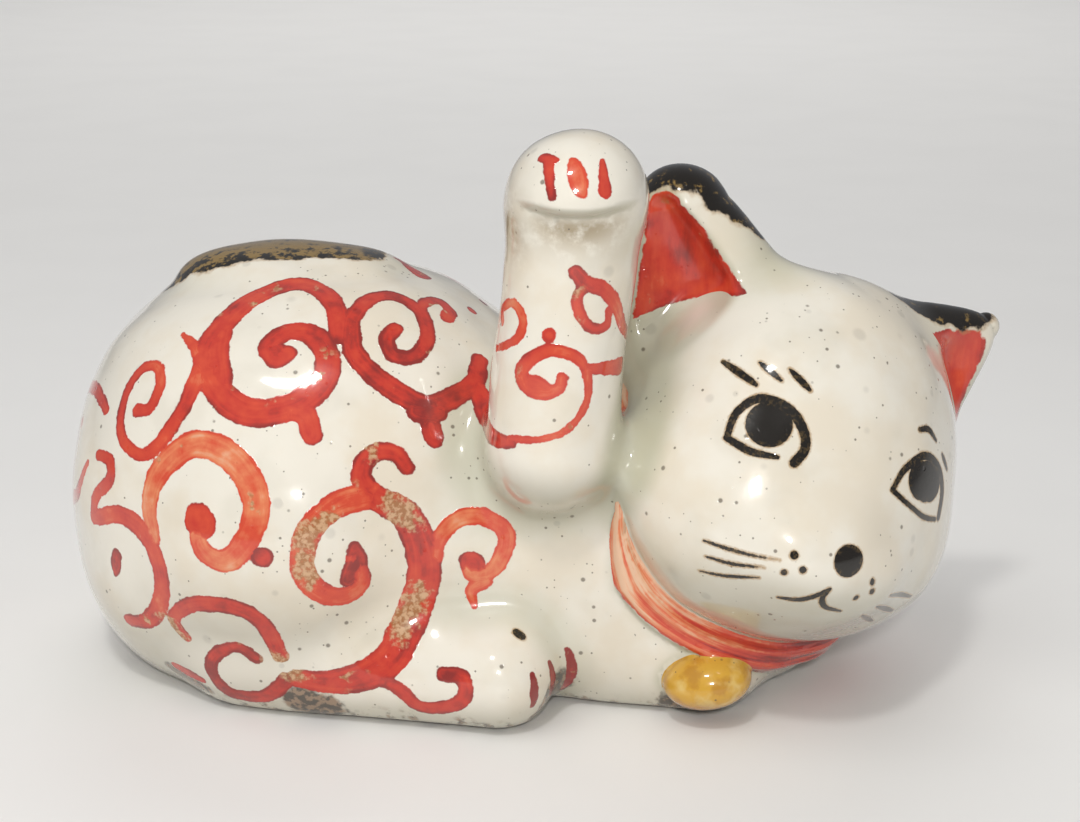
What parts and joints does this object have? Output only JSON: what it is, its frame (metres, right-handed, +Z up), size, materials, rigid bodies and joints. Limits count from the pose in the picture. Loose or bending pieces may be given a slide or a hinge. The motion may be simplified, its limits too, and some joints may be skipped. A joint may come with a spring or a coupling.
{
  "type": "beckoning cat figurine",
  "caption": "Reclining hollow glazed earthenware cat with one foreleg raised, head turned to the side, collar and bell, painted with red scrolls.",
  "frame": {"origin": "middle of the figure's bounding box, on the plane it stands on", "axes": "+X from the rump to the head, -Y out of the cat's right flank, +Z up from the table"},
  "size_m": [0.2, 0.1164, 0.1215],
  "materials": {
    "glazed_body": "gloss",
    "bare_clay": "matte",
    "black_glaze": "gloss",
    "red_glaze": "gloss",
    "ochre_glaze": "gloss"
  },
  "bodies": {
    "root": {"body_right_half": "glazed_body", "body_left_half": "glazed_body", "base_slab": "bare_clay", "head_face_half": "glazed_body", "head_back_half": "glazed_body", "right_ear": "glazed_body", "left_ear": "glazed_body", "raised_right_foreleg": "glazed_body", "resting_left_foreleg": "glazed_body", "right_hind_foot": "glazed_body", "left_hind_foot": "glazed_body", "tail": "black_glaze", "collar": "red_glaze", "bell": "ochre_glaze"}
  },
  "joints": []
}
